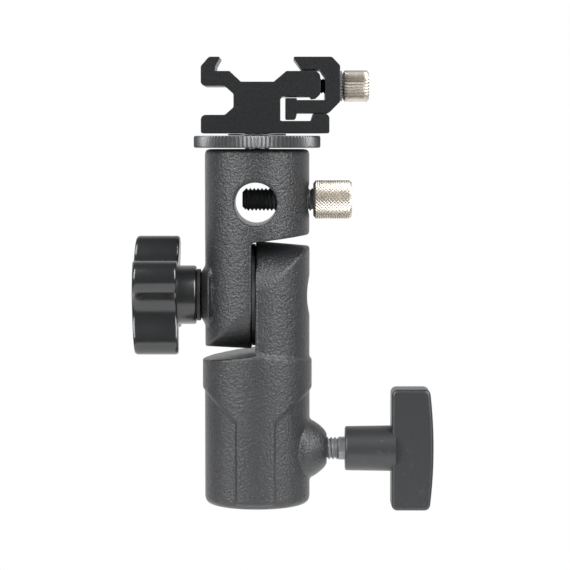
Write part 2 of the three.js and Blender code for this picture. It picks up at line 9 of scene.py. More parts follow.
import bpy
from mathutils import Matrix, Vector


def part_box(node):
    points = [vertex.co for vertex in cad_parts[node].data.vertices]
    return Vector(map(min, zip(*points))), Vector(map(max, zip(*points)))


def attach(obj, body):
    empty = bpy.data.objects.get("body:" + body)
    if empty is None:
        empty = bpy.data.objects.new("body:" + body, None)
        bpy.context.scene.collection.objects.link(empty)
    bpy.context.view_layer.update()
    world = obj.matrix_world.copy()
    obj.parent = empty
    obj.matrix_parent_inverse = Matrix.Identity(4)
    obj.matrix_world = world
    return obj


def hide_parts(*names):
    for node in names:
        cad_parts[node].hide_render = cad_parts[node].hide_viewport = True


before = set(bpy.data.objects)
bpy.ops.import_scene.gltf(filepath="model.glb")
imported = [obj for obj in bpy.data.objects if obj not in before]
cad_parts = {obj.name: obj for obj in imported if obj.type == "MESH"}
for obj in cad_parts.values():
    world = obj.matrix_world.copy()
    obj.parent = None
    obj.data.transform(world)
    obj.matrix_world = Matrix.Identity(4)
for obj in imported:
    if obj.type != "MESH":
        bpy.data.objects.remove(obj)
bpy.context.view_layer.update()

MM = 0.001

# ---------- camera ----------

CAMERA_PLACE = (7.2, -560, 94)  # mm: square on to the front, level with the locking disc
CAMERA_LENS = 136.7  # mm on a 36 mm sensor
CAMERA_DIP = math.radians(3.8)  # how far it looks down

bpy.ops.object.camera_add(
    location=[value * MM for value in CAMERA_PLACE],
    rotation=(math.pi / 2 - CAMERA_DIP, 0, 0),
)
camera = bpy.context.object
camera.data.lens = CAMERA_LENS
camera.data.sensor_width = 36
camera.data.clip_start = 10 * MM
bpy.context.scene.camera = camera

# ---------- shaping ----------

MERGE = 0.0005 * MM  # points closer than this are one point


def span(node):
    """Lowest and highest corner of a node of the frame, in mm."""
    low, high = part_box(node)
    return low / MM, high / MM


def skin_of_grid(name, rows, columns, place):
    """A grid primitive wrapped into a closed skin: place(row, column) is where each point goes, in mm."""
    bpy.ops.object.select_all(action="DESELECT")
    bpy.ops.mesh.primitive_grid_add(x_subdivisions=columns, y_subdivisions=rows - 1)
    piece = bpy.context.object
    piece.name = name
    for index, vertex in enumerate(piece.data.vertices):
        row, column = divmod(index, columns + 1)
        vertex.co = Vector(place(row, column % columns)) * MM
    bpy.ops.object.mode_set(mode="EDIT")
    bpy.ops.mesh.select_all(action="SELECT")
    bpy.ops.mesh.remove_doubles(threshold=MERGE)
    bpy.ops.mesh.normals_make_consistent(inside=False)
    bpy.ops.object.mode_set(mode="OBJECT")
    return piece


def turned(name, profile, axis, line, columns=72, skin=None):
    """A profile of (radius, place along the axis) turned about an axis along X or Z.

    line is where the axis runs: (y, z) for X and (x, y) for Z. skin(turn, height) is the radius of a thread
    or a knurl there, and the profile cuts it off wherever the profile is smaller, as a chamfer does.
    """

    def place(row, column):
        radius, height = profile[row]
        turn = column / columns
        if skin:
            radius = min(radius, skin(turn, height))
        across = line[0] + radius * math.cos(2 * math.pi * turn)
        up = line[1] + radius * math.sin(2 * math.pi * turn)
        return (height, across, up) if axis == "X" else (across, up, height)

    return skin_of_grid(name, len(profile), columns, place)


def steady(radius, start, end, spacing):
    """Profile points at one radius, evenly spaced from start to end."""
    steps = max(1, round(abs(end - start) / spacing))
    return [(radius, start + (end - start) * step / steps) for step in range(steps + 1)]


def rounded(corners, steps=5):
    """An outline of (u, v, radius) corners with each corner turned into an arc of that radius."""
    outline = []
    for index, (u, v, radius) in enumerate(corners):
        here = Vector((u, v))
        if not radius:
            outline.append((u, v))
            continue
        before = (Vector(corners[index - 1][:2]) - here).normalized()
        after = (Vector(corners[(index + 1) % len(corners)][:2]) - here).normalized()
        half = before.angle(after) / 2
        centre = here + (before + after).normalized() * (radius / math.sin(half))
        start = here + before * (radius / math.tan(half)) - centre
        end = here + after * (radius / math.tan(half)) - centre
        sweep = start.angle_signed(end)
        for step in range(steps + 1):
            turn = -sweep * step / steps
            outline.append(
                (
                    centre.x + start.x * math.cos(turn) - start.y * math.sin(turn),
                    centre.y + start.x * math.sin(turn) + start.y * math.cos(turn),
                )
            )
    return outline


def extruded(name, outline, axis, start, end):
    """A circle primitive laid on an outline and extruded: (x, z) points go along Y, (y, z) along X."""
    bpy.ops.object.select_all(action="DESELECT")
    bpy.ops.mesh.primitive_circle_add(vertices=len(outline), fill_type="NGON")
    piece = bpy.context.object
    piece.name = name
    for vertex, (u, v) in zip(piece.data.vertices, outline):
        vertex.co = Vector((u, start, v) if axis == "Y" else (start, u, v)) * MM
    along = Vector((0, end - start, 0) if axis == "Y" else (end - start, 0, 0)) * MM
    bpy.ops.object.mode_set(mode="EDIT")
    bpy.ops.mesh.select_all(action="SELECT")
    bpy.ops.mesh.extrude_region_move(TRANSFORM_OT_translate={"value": along})
    bpy.ops.mesh.select_all(action="SELECT")
    bpy.ops.mesh.normals_make_consistent(inside=False)
    bpy.ops.object.mode_set(mode="OBJECT")
    return piece


def modified(piece, kind, **settings):
    """The piece with one modifier applied."""
    bpy.context.view_layer.objects.active = piece
    modifier = piece.modifiers.new(kind, kind)
    for key, value in settings.items():
        setattr(modifier, key, value)
    bpy.ops.object.modifier_apply(modifier=modifier.name)
    return piece


def combined(piece, other, how):
    """The piece joined with, cut by or kept inside another one, which is used up."""
    modified(piece, "BOOLEAN", operation=how, solver="MANIFOLD", object=other)
    bpy.data.objects.remove(other)
    return piece


def rimmed(piece, width, segments=3, sharper_than=40):
    """The piece with its sharp edges rounded off."""
    return modified(
        piece,
        "BEVEL",
        width=width * MM,
        segments=segments,
        limit_method="ANGLE",
        angle_limit=math.radians(sharper_than),
        use_clamp_overlap=True,
    )


def smoothed(piece, angle=35):
    """The piece shaded smooth, apart from edges sharper than the angle."""
    bpy.ops.object.select_all(action="DESELECT")
    piece.select_set(True)
    bpy.context.view_layer.objects.active = piece
    bpy.ops.object.shade_smooth_by_angle(angle=math.radians(angle))
    return piece


def flat_faced(piece, angle=30):
    """The piece shaded smooth round its small bends, with its broad faces kept flat."""
    smoothed(piece, angle)
    return modified(piece, "WEIGHTED_NORMAL", mode="FACE_AREA", weight=100, keep_sharp=True)


def cast(piece, grain, passes):
    """The piece remade as one even skin with the soft edges of a die casting under powder coat."""
    modified(piece, "REMESH", mode="VOXEL", voxel_size=grain * MM)
    modified(piece, "SMOOTH", factor=0.5, iterations=passes)
    return smoothed(piece, 180)


def shown(piece, body, node, material):
    """Puts a finished piece on its body of the frame, in place of the node that it stands for."""
    piece.data.materials.clear()
    piece.data.materials.append(material)
    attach(piece, body)
    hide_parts(node)


def kept(node, material):
    """Shows a node of the frame itself, with a finish."""
    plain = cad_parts[node]
    plain.data.materials.clear()
    plain.data.materials.append(material)


def groove(phase):
    """Depth of an even V-groove as a share: 0 on a crest, 1 in a root half a step further."""
    return 1 - abs(2 * (phase % 1) - 1)


def thread(major, pitch, start, end):
    """Skin of a rod with a right-hand screw thread from start to end, plain outside them."""

    def skin(turn, height):
        if not start <= height <= end:
            return major
        return major - THREAD_DEPTH * pitch * groove(height / pitch - turn)

    return skin


def straight_knurl(radius, teeth, depth):
    """Skin of a knurl whose teeth run along the axis."""
    return lambda turn, height: radius - depth * groove(teeth * turn)


def diamond_knurl(radius, teeth, lead, depth):
    """Skin of a knurl of little pyramids, left between two crossing sets of helical grooves."""

    def skin(turn, height):
        rising = groove(teeth * turn + height / lead)
        falling = groove(teeth * turn - height / lead)
        return radius - depth * max(rising, falling)

    return skin


THREAD_DEPTH = 0.61  # of the pitch, as on a metric screw
COARSE_PITCH_M6 = 1.0
COARSE_PITCH_M4 = 0.7
THREAD_ROWS = 10  # rows of faces in one pitch
THREAD_RUN_OUT = 0.2
SCREW_COLUMNS = 48


def ring(name, axis, line, inner, outer, start, end, edge, columns=72, skin=None):
    """A washer or a disc with a hole, its outer rims rounded."""
    profile = rounded([(inner, start, 0), (outer, start, edge), (outer, end, edge), (inner, end, 0)], 3)
    return turned(name, profile + profile[:1], axis, line, columns, skin)


def rod(name, axis, line, radius, start, end, columns=72):
    """A plain rod or the space of a plain hole."""
    return turned(name, [(0, start), (radius, start), (radius, end), (0, end)], axis, line, columns)


def hexagon(across_flats):
    """The six corners of a nut or a bolt head, as (y, z) offsets."""
    corner = across_flats / math.sqrt(3)
    turns = [math.pi * side / 3 for side in range(6)]
    return [(corner * math.cos(turn), corner * math.sin(turn)) for turn in turns]


def hexagonal(name, across_flats, start, end, height):
    """A hexagonal bar along X at a height."""
    return extruded(name, [(y, height + z) for y, z in hexagon(across_flats)], "X", start, end)


def axis_height(node):
    """Height of the line that a round node along X is centred on."""
    low, high = span(node)
    return (low.z + high.z) / 2


TILT_Z = axis_height("tilt_bolt")
STAND_SCREW_Z = axis_height("stand_screw")
UMBRELLA_SCREW_Z = axis_height("umbrella_head")
JAW_SCREW_Z = axis_height("jaw_head")
TILT_LINE = (0, TILT_Z)
STAND_LINE = (0, STAND_SCREW_Z)
UMBRELLA_LINE = (0, UMBRELLA_SCREW_Z)
JAW_LINE = (0, JAW_SCREW_Z)
UPRIGHT = (0, 0)

# ---------- castings ----------

BEYOND = 20  # further out than any part of a casting
CAST_COLUMNS = 144
CAST_GRAIN = 0.4  # width of a face of the finished skin
CAST_PASSES = 4
SEAT_GAP = 0.1  # between two faces that touch when clamped
STUD_HOLE_GAP = 0.3  # under the stud
HOLE_CLEARANCE = 0.35  # radial, so that a softened hole stays clear of its screw
LUG_INSET = 0.03  # a lug is that much slimmer than its round body, so that no two skins coincide
THREAD_CLEARANCE = 0.15  # radial, round a screw
M6_R = 3
M4_R = 2
QUARTER_INCH_R = 3.175
SOCKET_R = 13.6
SPIGOT_BORE_R = 8.4
SPIGOT_DEPTH = 33
MOUTH_ROUNDING = 1.8
BORE_LEAD_IN = 0.6  # chamfer at the bore's mouth
DRILL_POINT = 1.5  # height of the cone that the bore ends in
BOSS_DOME = [(0, 9.4), (8.3, 9.4), (8.3, 12.4), (7.7, 13.6), (7.1, 14.8), (6.2, 16.1), (5.1, 17.3)]
BOSS_TIP_R = 3.9
SPOT_RIM_X = 14.2
SPOT_FACE = [(0, 12.75), (3.3, 12.75), (6.1, SPOT_RIM_X), (0, SPOT_RIM_X)]
NUT_POCKET_END_X = 5.3
SHOULDER_EDGE_Z = 37.8
SHOULDER_SLOPE = 0.135
BAND_BOTTOM_Z = 30.1
BAND_TAPER_Z = 22.6
STRIP_LEFT_X = -5.2
STRIP_RIGHT_X = 4.5
STRIP_END_Z = 1.4
LUG_ROOT_R = 13.95  # a lug's round end at the joint
LOWER_LUG_TIP_R = 12.75  # the same at its outer side
UPPER_LUG_TIP_R = 13.25
LOWER_FACE_X = -0.35
UPPER_FACE_X = -1.35
HEAD_R = 13.5
HEAD_ROUNDING = 1.2
KNOB_BOSS_FACE_R = 6
KNOB_BOSS_ROOT = (9.6, -12.3)  # radius and place where the tilt knob's boss leaves the lug
KNOB_BOSS_END_X = -9.3
HEAD_SHOULDER_Z = 68.35
HEAD_SHOULDER_SLOPE = 0.125
UMBRELLA_HOLE_R = 5.5
UMBRELLA_HOLE_X = -0.3
UMBRELLA_HOLE_Z = 78.05
HEX_FLATS = 10


def lug(name, bar_r, face_x, side, tip_r, root_z):
    """Half of a bar split lengthwise, whose end is rounded about the tilt axis and tapers outwards."""
    far_x = side * BEYOND
    taper = (LUG_ROOT_R - tip_r) / bar_r
    far_r = LUG_ROOT_R - taper * (BEYOND - abs(face_x))
    cone = [(0, face_x), (LUG_ROOT_R, face_x), (far_r, far_x), (0, far_x)]
    piece = turned(name, cone, "X", TILT_LINE, CAST_COLUMNS)
    half = [(face_x, root_z), (far_x, root_z), (far_x, TILT_Z), (face_x, TILT_Z)]
    combined(piece, extruded("half_bar", half, "Y", -BEYOND, BEYOND), "UNION")
    low_z, high_z = min(root_z, TILT_Z - BEYOND), max(root_z, TILT_Z + BEYOND)
    bar = rod("bar", "Z", UPRIGHT, bar_r, low_z, high_z, CAST_COLUMNS)
    return combined(piece, bar, "INTERSECT")


def shoulder_z(x):
    """Height of the socket's sloping shoulder at a place across the bracket."""
    return SHOULDER_EDGE_Z + SHOULDER_SLOPE * (SOCKET_R - abs(x))


def socket_and_band():
    """The round socket, with the raised band that runs down its front and back as a strip."""
    top = shoulder_z(0)
    core = turned(
        "socket_casting",
        rounded([(0, 0, 0), (SOCKET_R, 0, MOUTH_ROUNDING), (SOCKET_R, top, 0), (0, top, 0)]),
        "Z",
        UPRIGHT,
        CAST_COLUMNS,
    )
    band_r = -span("lower_casting")[0].x
    skin = rod("band", "Z", UPRIGHT, band_r, STRIP_END_Z, top, CAST_COLUMNS)
    edge = [
        (STRIP_LEFT_X, 0),
        (STRIP_RIGHT_X, 0),
        (STRIP_RIGHT_X, BAND_TAPER_Z),
        (SOCKET_R, BAND_BOTTOM_Z),
        (BEYOND, BAND_BOTTOM_Z),
        (BEYOND, top),
        (-BEYOND, top),
        (-BEYOND, BAND_BOTTOM_Z),
        (-SOCKET_R, BAND_BOTTOM_Z),
        (STRIP_LEFT_X, BAND_TAPER_Z),
    ]
    combined(skin, extruded("band_edge", edge, "Y", -BEYOND, BEYOND), "INTERSECT")
    combined(core, skin, "UNION")
    eaves_z = shoulder_z(BEYOND)
    roof = [(-BEYOND, -1), (BEYOND, -1), (BEYOND, eaves_z), (0, top), (-BEYOND, eaves_z)]
    return combined(core, extruded("roof", roof, "Y", -BEYOND, BEYOND), "INTERSECT")


def lower_casting():
    """Stand socket and lower lug in one casting."""
    boss_x = span("lower_casting")[1].x
    piece = socket_and_band()
    lower_lug = lug("lower_lug", SOCKET_R - LUG_INSET, LOWER_FACE_X, 1, LOWER_LUG_TIP_R, SPIGOT_DEPTH + 1)
    combined(piece, lower_lug, "UNION")
    dome = BOSS_DOME + [(BOSS_TIP_R, boss_x), (0, boss_x)]
    combined(piece, turned("boss", dome, "X", STAND_LINE), "UNION")
    bore = [
        (0, -1),
        (SPIGOT_BORE_R + BORE_LEAD_IN + 1, -1),
        (SPIGOT_BORE_R, BORE_LEAD_IN),
        (SPIGOT_BORE_R, SPIGOT_DEPTH),
        (0, SPIGOT_DEPTH + DRILL_POINT),
    ]
    combined(piece, turned("bore", bore, "Z", UPRIGHT, CAST_COLUMNS), "DIFFERENCE")
    combined(piece, turned("spot_face", SPOT_FACE, "X", TILT_LINE), "DIFFERENCE")
    pocket_flats = HEX_FLATS + 2 * HOLE_CLEARANCE
    pocket = hexagonal("nut_pocket", pocket_flats, LOWER_FACE_X - 1, NUT_POCKET_END_X, TILT_Z)
    combined(piece, pocket, "DIFFERENCE")
    hole_r = M6_R + HOLE_CLEARANCE
    combined(piece, rod("bolt_hole", "X", TILT_LINE, hole_r, LOWER_FACE_X - 1, SPOT_RIM_X), "DIFFERENCE")
    combined(piece, rod("screw_hole", "X", STAND_LINE, hole_r, 0, boss_x + 1), "DIFFERENCE")
    return cast(piece, CAST_GRAIN, CAST_PASSES)


def upper_casting():
    """Head with the umbrella hole, and upper lug, in one casting."""
    top = span("upper_casting")[1].z
    head = rounded([(0, TILT_Z, 0), (HEAD_R, TILT_Z, 0), (HEAD_R, top, HEAD_ROUNDING), (0, top, 0)])
    piece = turned("head_casting", head, "Z", UPRIGHT, CAST_COLUMNS)
    above = [
        (-BEYOND, HEAD_SHOULDER_Z),
        (LOWER_FACE_X, HEAD_SHOULDER_Z),
        (BEYOND, HEAD_SHOULDER_Z + HEAD_SHOULDER_SLOPE * BEYOND),
        (BEYOND, top + 1),
        (-BEYOND, top + 1),
    ]
    combined(piece, extruded("above", above, "Y", -BEYOND, BEYOND), "INTERSECT")
    upper_lug = lug("upper_lug", HEAD_R - LUG_INSET, UPPER_FACE_X, -1, UPPER_LUG_TIP_R, HEAD_SHOULDER_Z + 1)
    combined(piece, upper_lug, "UNION")
    boss_x = span("tilt_washer")[1].x + SEAT_GAP
    boss = [(0, boss_x), (KNOB_BOSS_FACE_R, boss_x), KNOB_BOSS_ROOT, (0, KNOB_BOSS_END_X)]
    combined(piece, turned("boss", boss, "X", TILT_LINE), "UNION")
    hole_r = M6_R + HOLE_CLEARANCE
    combined(piece, rod("bolt_hole", "X", TILT_LINE, hole_r, -BEYOND, 0), "DIFFERENCE")
    umbrella = []
    for side in range(72):
        turn = math.pi * side / 36
        x = UMBRELLA_HOLE_X + UMBRELLA_HOLE_R * math.cos(turn)
        umbrella.append((x, UMBRELLA_HOLE_Z + UMBRELLA_HOLE_R * math.sin(turn)))
    combined(piece, extruded("umbrella_hole", umbrella, "Y", -BEYOND, BEYOND), "DIFFERENCE")
    combined(piece, rod("thumbscrew_hole", "X", UMBRELLA_LINE, hole_r, 0, HEAD_R + 1), "DIFFERENCE")
    floor_z = span("mount_stud")[0].z - STUD_HOLE_GAP
    stud_hole = rod("stud_hole", "Z", UPRIGHT, QUARTER_INCH_R + HOLE_CLEARANCE, floor_z, top + 1)
    combined(piece, stud_hole, "DIFFERENCE")
    return cast(piece, CAST_GRAIN, CAST_PASSES)


# ---------- tilt clamp ----------

KNOB_LOBE_END_X = -20.5
KNOB_HUB_R = 7.6
KNOB_REACH = 16.2
LOBE_R = 4.4
LOBES = 4
FIRST_LOBE = math.radians(155)  # turning from the back over the top, so a lobe points forwards and up
HOLLOW_CENTRE = 15  # from the axis to the centre of the hollow between two lobes
KNOB_DOME = 0.8  # how far the outer face falls back at the lobes' tips
KNOB_LEAN = 0.4  # how far the inner face does
KNOB_ROUNDING = 0.85
KNOB_COLUMNS = 144
HUB_ROUNDING = 0.5
HUB_ROUNDING_MIDDLE = 0.15  # how far the middle of that rounding is from the corner, both ways
BOLT_HEAD_HEIGHT = 4
CROWN_R = 5.9
CROWN_FACE_R = 4.7
CROWN_HEIGHT = 0.7
BOLT_THREAD_X = -4  # where the bolt's thread starts
BOLT_TIP_CHAMFER = 0.8
BOLT_TIP_R = 2.3
WASHER_EDGE = 0.2


def star_radius(turn):
    """Distance from the axis to the star's outline: round lobes that run into round hollows."""
    step = 2 * math.pi / LOBES
    off_lobe = abs((2 * math.pi * turn - FIRST_LOBE + step / 2) % step - step / 2)
    lobe_centre = KNOB_REACH - LOBE_R
    apart = math.hypot(HOLLOW_CENTRE - lobe_centre * math.cos(step / 2), lobe_centre * math.sin(step / 2))
    hollow_r = apart - LOBE_R
    share = LOBE_R / apart
    join_along = lobe_centre + share * (HOLLOW_CENTRE * math.cos(step / 2) - lobe_centre)
    join_across = share * HOLLOW_CENTRE * math.sin(step / 2)
    if off_lobe < math.atan2(join_across, join_along):
        across = lobe_centre * math.sin(off_lobe)
        return lobe_centre * math.cos(off_lobe) + math.sqrt(LOBE_R**2 - across**2)
    off_hollow = step / 2 - off_lobe
    across = HOLLOW_CENTRE * math.sin(off_hollow)
    return HOLLOW_CENTRE * math.cos(off_hollow) - math.sqrt(hollow_r**2 - across**2)


def tilt_knob():
    """The moulded star: each ring of its skin is (share of the outline, inset, place, bow)."""
    low, high = span("tilt_knob")
    bends = [math.pi / 2 * step / 4 for step in range(5)]
    rings = [(share, 0, low.x, KNOB_DOME) for share in (0, 0.25, 0.5, 0.75)]
    rings += [
        (1, KNOB_ROUNDING * (1 - math.sin(bend)), low.x + KNOB_ROUNDING * (1 - math.cos(bend)), KNOB_DOME)
        for bend in bends
    ]
    for bend in bends:
        inner_x = KNOB_LOBE_END_X - KNOB_ROUNDING * (1 - math.sin(bend))
        rings.append((1, KNOB_ROUNDING * (1 - math.cos(bend)), inner_x, KNOB_LEAN))
    rings += [
        (0, -KNOB_HUB_R - 0.1, KNOB_LOBE_END_X, 0),
        (0, -KNOB_HUB_R, KNOB_LOBE_END_X + HUB_ROUNDING, 0),
        (0, -KNOB_HUB_R, high.x - HUB_ROUNDING, 0),
        (0, -KNOB_HUB_R + HUB_ROUNDING_MIDDLE, high.x - HUB_ROUNDING_MIDDLE, 0),
        (0, -KNOB_HUB_R + HUB_ROUNDING, high.x, 0),
        (0, 0, high.x, 0),
    ]

    def place(row, column):
        share, inset, x, bow = rings[row]
        turn = column / KNOB_COLUMNS
        radius = share * star_radius(turn) - inset
        angle = 2 * math.pi * turn
        bowed_x = x + bow * (radius / KNOB_REACH) ** 2
        return (bowed_x, radius * math.cos(angle), TILT_Z + radius * math.sin(angle))

    piece = skin_of_grid("tilt_star_knob", len(rings), KNOB_COLUMNS, place)
    pocket_end_x = span("tilt_bolt")[0].x + BOLT_HEAD_HEIGHT + SEAT_GAP
    pocket_flats = HEX_FLATS + 2 * THREAD_CLEARANCE
    combined(piece, hexagonal("pocket", pocket_flats, low.x - 1, pocket_end_x, TILT_Z), "DIFFERENCE")
    hole = rod("hole", "X", TILT_LINE, M6_R + THREAD_CLEARANCE, low.x, high.x + 1)
    combined(piece, hole, "DIFFERENCE")
    return smoothed(piece, 40)


def threaded_rod(name, line, radius, pitch, start, thread_end, end, tip):
    """A screw along X: a chamfered tip at start, a thread up to thread_end and a plain neck up to end."""
    rows = steady(radius, start, thread_end, pitch / THREAD_ROWS)
    profile = [(0, start)] + [(min(radius, radius - tip + height - start), height) for _, height in rows]
    profile += [(radius, thread_end + THREAD_RUN_OUT), (radius, end), (0, end)]
    return turned(name, profile, "X", line, SCREW_COLUMNS, thread(radius, pitch, start, thread_end))


def tilt_bolt():
    """Hexagon bolt: its head sits in the knob and its tip shows in the lower lug."""
    low, high = span("tilt_bolt")
    neck_x = low.x + BOLT_HEAD_HEIGHT
    head = hexagonal("tilt_hex_bolt", HEX_FLATS, low.x, neck_x, TILT_Z)
    crown = [
        (0, low.x),
        (CROWN_FACE_R, low.x),
        (CROWN_R, low.x + CROWN_HEIGHT),
        (CROWN_R, neck_x + SEAT_GAP),
        (0, neck_x + SEAT_GAP),
    ]
    combined(head, turned("crown", crown, "X", TILT_LINE), "INTERSECT")
    spacing = COARSE_PITCH_M6 / THREAD_ROWS
    profile = [(0, neck_x - 1), (M6_R, neck_x - 1)]
    profile += steady(M6_R, BOLT_THREAD_X, high.x - BOLT_TIP_CHAMFER, spacing)
    profile += [(BOLT_TIP_R, high.x), (0, high.x)]
    skin = thread(M6_R, COARSE_PITCH_M6, BOLT_THREAD_X, high.x)
    shank = turned("shank", profile, "X", TILT_LINE, SCREW_COLUMNS, skin)
    return smoothed(combined(head, shank, "UNION"))


def tilt_washer():
    """Slippery washer between the knob's hub and the upper lug."""
    low, high = span("tilt_washer")
    hole_r = M6_R + THREAD_CLEARANCE
    return smoothed(ring("tilt_slip_washer", "X", TILT_LINE, hole_r, high.y, low.x, high.x, WASHER_EDGE))


# ---------- stand clamp ----------

T_BAR_INNER_X = 34.8
T_BAR_BOW = 1
T_BAR_THICKNESS = 9
HUB_R = 5.75
HUB_END_R = 5.95
T_BAR_CORNER_R = 1.5
T_BAR_RIM = 0.9
T_BAR_BOW_STEPS = 7
STAND_HEX_FLATS = 9
STAND_HEX_HEIGHT = 3.6
STAND_THREAD_END_X = 21
SCREW_TIP_CHAMFER = 0.7
PAD_R = 2.9
PAD_PIN_R = 1
PAD_THICKNESS = 1.2


def stand_screw():
    """M6 screw whose hexagon head is moulded into the T-knob."""
    low, high = span("stand_screw")
    screw = threaded_rod(
        "stand_screw_m6",
        STAND_LINE,
        M6_R,
        COARSE_PITCH_M6,
        low.x,
        STAND_THREAD_END_X,
        high.x - 1,
        SCREW_TIP_CHAMFER,
    )
    head = hexagonal("head", STAND_HEX_FLATS, high.x - STAND_HEX_HEIGHT, high.x, STAND_SCREW_Z)
    return smoothed(combined(screw, head, "UNION"))


def pressure_pad():
    """Foot that the stand screw presses on the spigot."""
    low, high = span("stand_pressure_pad")
    back_x = low.x + PAD_THICKNESS
    corners = [(PAD_R, low.x, 0.3), (PAD_R, back_x, 0.2), (PAD_PIN_R, back_x, 0), (PAD_PIN_R, high.x, 0)]
    profile = [(0, low.x)] + rounded(corners, 3) + [(0, high.x)]
    return smoothed(turned("stand_brass_pad", profile, "X", STAND_LINE))


def stand_knob():
    """The T: a hub that widens a little, and a cross bar with a domed outer edge."""
    low, high = span("stand_knob")
    half = (high.z - low.z) / 2
    bow = []
    for step in range(1 - T_BAR_BOW_STEPS, T_BAR_BOW_STEPS):
        share = step / T_BAR_BOW_STEPS
        bow.append((high.x - T_BAR_BOW * share**2, STAND_SCREW_Z + half * step / T_BAR_BOW_STEPS, 0))
    shoulder_x = high.x - T_BAR_BOW
    outline = [(T_BAR_INNER_X, low.z, T_BAR_CORNER_R), (shoulder_x, low.z, T_BAR_CORNER_R)] + bow
    outline += [(shoulder_x, high.z, T_BAR_CORNER_R), (T_BAR_INNER_X, high.z, T_BAR_CORNER_R)]
    bar = extruded("stand_t_knob", rounded(outline), "Y", -T_BAR_THICKNESS / 2, T_BAR_THICKNESS / 2)
    rimmed(bar, T_BAR_RIM, 4, 60)
    hub_end_x = T_BAR_INNER_X + 1
    hub = [(0, low.x, 0), (HUB_R, low.x, HUB_ROUNDING), (HUB_END_R, hub_end_x, 0), (0, hub_end_x, 0)]
    combined(bar, turned("hub", rounded(hub), "X", STAND_LINE), "UNION")
    hex_end_x = span("stand_screw")[1].x
    hex_start_x = hex_end_x - STAND_HEX_HEIGHT
    pocket = hexagonal(
        "pocket",
        STAND_HEX_FLATS + 2 * THREAD_CLEARANCE,
        hex_start_x - THREAD_CLEARANCE,
        hex_end_x + THREAD_CLEARANCE,
        STAND_SCREW_Z,
    )
    combined(bar, pocket, "DIFFERENCE")
    hole = rod("hole", "X", STAND_LINE, M6_R + THREAD_CLEARANCE, low.x - 1, hex_start_x)
    combined(bar, hole, "DIFFERENCE")
    return flat_faced(bar, 40)


# ---------- thumbscrews ----------

UMBRELLA_SCREW_TIP = 1.1
JAW_SCREW_TIP = 0.5
SCREW_NECK = 0.5  # plain end of a screw that is pressed into its head
HEAD_CHAMFER = 0.55
HEAD_LAND = 1.2  # ring of the head's end face inside its chamfer
UMBRELLA_HEAD_BORE = 7
UMBRELLA_HEAD_TEETH = 34
UMBRELLA_KNURL_LEADS = 9.5  # along the head
JAW_HEAD_BORE = 5
JAW_HEAD_TEETH = 30
KNURL_DEPTH = 0.3
KNURL_FACES = 8  # faces across one tooth
WASHER_TEETH = 28
WASHER_TOOTH_DEPTH = 0.5
WASHER_TOOTH_EDGE = 0.05
RIM_FACES = 6  # faces across one tooth of a washer or a disc


def umbrella_screw():
    """M6 screw that reaches across the umbrella hole."""
    low, high = span("umbrella_stud")
    screw = threaded_rod(
        "umbrella_screw_m6",
        UMBRELLA_LINE,
        M6_R,
        COARSE_PITCH_M6,
        low.x,
        high.x - SCREW_NECK,
        high.x,
        UMBRELLA_SCREW_TIP,
    )
    return smoothed(screw, 50)


def head_profile(radius, low_x, high_x, hole_r, hole_depth, spacing):
    """A thumbscrew's head with chamfered rims and a blind hole, as a profile with rows for its knurl."""
    chamfer = HEAD_CHAMFER
    hole_end_x = low_x + hole_depth
    profile = [(0, hole_end_x), (hole_r, hole_end_x), (hole_r, low_x)]
    profile += [(radius - chamfer - KNURL_DEPTH, low_x)]
    profile += steady(radius, low_x + chamfer, high_x - chamfer, spacing)
    return profile + [(radius - chamfer, high_x), (radius - chamfer - HEAD_LAND, high_x), (0, high_x)]


def umbrella_head():
    """Round head with a fine diamond knurl."""
    low, high = span("umbrella_head")
    lead = (high.x - low.x - 2 * HEAD_CHAMFER) / UMBRELLA_KNURL_LEADS
    hole_r = M6_R + THREAD_CLEARANCE
    profile = head_profile(high.y, low.x, high.x, hole_r, UMBRELLA_HEAD_BORE, lead / KNURL_FACES)
    knurl = diamond_knurl(high.y, UMBRELLA_HEAD_TEETH, lead, KNURL_DEPTH)
    columns = UMBRELLA_HEAD_TEETH * KNURL_FACES
    return smoothed(turned("umbrella_knurled_head", profile, "X", UMBRELLA_LINE, columns, knurl), 20)


def jaw_head():
    """Round head with a straight knurl."""
    low, high = span("jaw_head")
    profile = head_profile(high.y, low.x, high.x, M4_R + THREAD_CLEARANCE, JAW_HEAD_BORE, 1)
    knurl = straight_knurl(high.y, JAW_HEAD_TEETH, KNURL_DEPTH)
    columns = JAW_HEAD_TEETH * KNURL_FACES
    return smoothed(turned("jaw_knurled_head", profile, "X", JAW_LINE, columns, knurl), 50)


def jaw_screw():
    """M4 screw through the jaw into the shoe."""
    low, high = span("jaw_screw")
    screw = threaded_rod(
        "jaw_screw_m4",
        JAW_LINE,
        M4_R,
        COARSE_PITCH_M4,
        low.x,
        high.x - SCREW_NECK,
        high.x,
        JAW_SCREW_TIP,
    )
    return smoothed(screw, 50)


def jaw_washer():
    """Toothed washer under the jaw screw's head."""
    low, high = span("jaw_washer")
    washer = ring(
        "jaw_toothed_washer",
        "X",
        JAW_LINE,
        M4_R + THREAD_CLEARANCE,
        high.y,
        low.x,
        high.x,
        WASHER_TOOTH_EDGE,
        WASHER_TEETH * RIM_FACES,
        straight_knurl(high.y, WASHER_TEETH, WASHER_TOOTH_DEPTH),
    )
    return smoothed(washer, 50)


# ---------- locking disc and shoe ----------

SHOE_HALF_DEPTH = 9
RIM = 0.35
DISC_EDGE = 0.45
DISC_TEETH = 96
DISC_TOOTH_DEPTH = 0.35
THIN_WASHER_EDGE = 0.1


